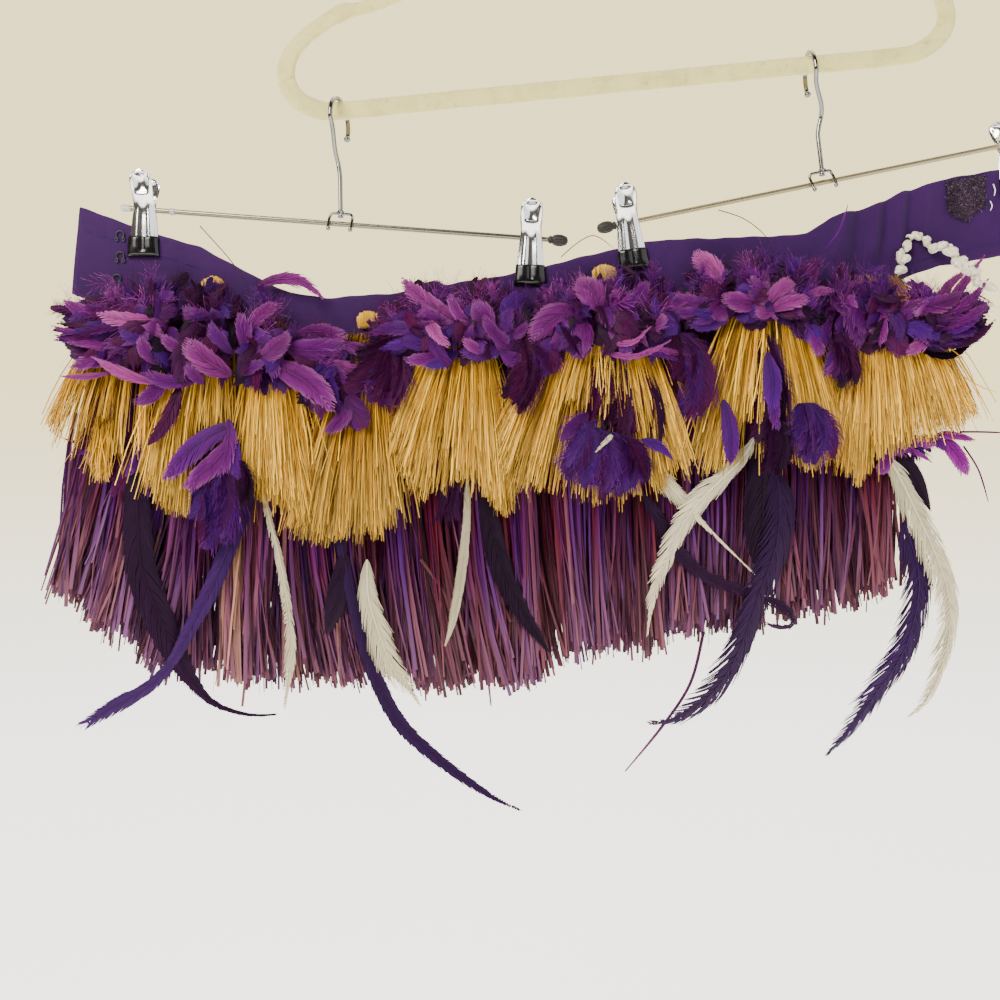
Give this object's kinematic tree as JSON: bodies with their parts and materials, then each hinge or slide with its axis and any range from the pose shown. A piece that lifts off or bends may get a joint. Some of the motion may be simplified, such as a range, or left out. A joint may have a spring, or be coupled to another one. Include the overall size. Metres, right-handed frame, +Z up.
{
  "type": "grass skirt on clip hangers and a flocked hanger",
  "caption": "Purple raffia dance skirt with tan fibre fans, feather bunches and long feathers, opened flat on two chrome clip hangers.",
  "frame": {"origin": "inside top of the flocked hanger's hook, where a rail carries it", "axes": "+X to the right along the waistband seen from the front, +Y away from the front of the skirt, +Z up"},
  "size_m": [0.6839, 0.0637, 0.7082],
  "materials": {
    "cotton": "matt woven purple cotton",
    "fuzz": "worn looped pile, grey-brown",
    "raffia": "dyed raffia strips, plum to mauve",
    "fibre": "natural tan plant fibre",
    "feather_violet": "dyed violet and magenta feather",
    "feather_dark": "dyed dark violet feather",
    "feather_cream": "undyed cream feather",
    "shell": "small glossy white shells on thread",
    "flock": "cream flock over a plastic core",
    "chrome": "bright plate on steel wire and pressed steel",
    "black_wire": "black enamelled wire",
    "vinyl": "black dipped vinyl"
  },
  "bodies": {
    "root": {"clip_1_back": "chrome", "clip_1_front": "chrome", "clip_2_back": "chrome", "clip_2_front": "chrome", "clip_3_back": "chrome", "clip_3_front": "chrome", "clip_4_back": "chrome", "clip_4_front": "chrome", "cream_feather_1": "feather_cream", "cream_feather_2": "feather_cream", "cream_feather_3": "feather_cream", "cream_feather_4": "feather_cream", "cream_feather_5": "feather_cream", "cream_feather_6": "feather_cream", "dark_feather_1": "feather_dark", "dark_feather_2": "feather_dark", "dark_feather_3": "feather_dark", "dark_feather_4": "feather_dark", "dark_feather_5": "feather_dark", "dark_feather_6": "feather_dark", "eye_1": "black_wire", "eye_2": "black_wire", "eye_3": "black_wire", "fan_1": "fibre", "fan_2": "fibre", "fan_3": "fibre", "fan_4": "fibre", "fan_5": "fibre", "fan_6": "fibre", "fan_7": "fibre", "fan_8": "fibre", "feather_cluster_1": "feather_violet", "feather_cluster_2": "feather_violet", "feather_cluster_3": "feather_violet", "feather_cluster_4": "feather_violet", "feather_cluster_5": "feather_violet", "fringe_left": "raffia", "fringe_middle": "raffia", "fringe_right": "raffia", "hook_1": "black_wire", "hook_2": "black_wire", "hook_3": "black_wire", "hook_loop_patch": "fuzz", "left_hook": "chrome", "left_rod": "chrome", "left_rod_tip_1": "vinyl", "plume_1": "feather_violet", "plume_2": "feather_violet", "plume_3": "feather_violet", "plume_4": "feather_violet", "plume_5": "feather_violet", "plume_6": "feather_violet", "right_hook": "chrome", "right_rod": "chrome", "right_rod_tip_1": "vinyl", "right_rod_tip_2": "vinyl", "shell_string": "shell", "velvet_hanger": "flock", "velvet_hanger_hook": "chrome", "waistband": "cotton"}
  },
  "joints": []
}
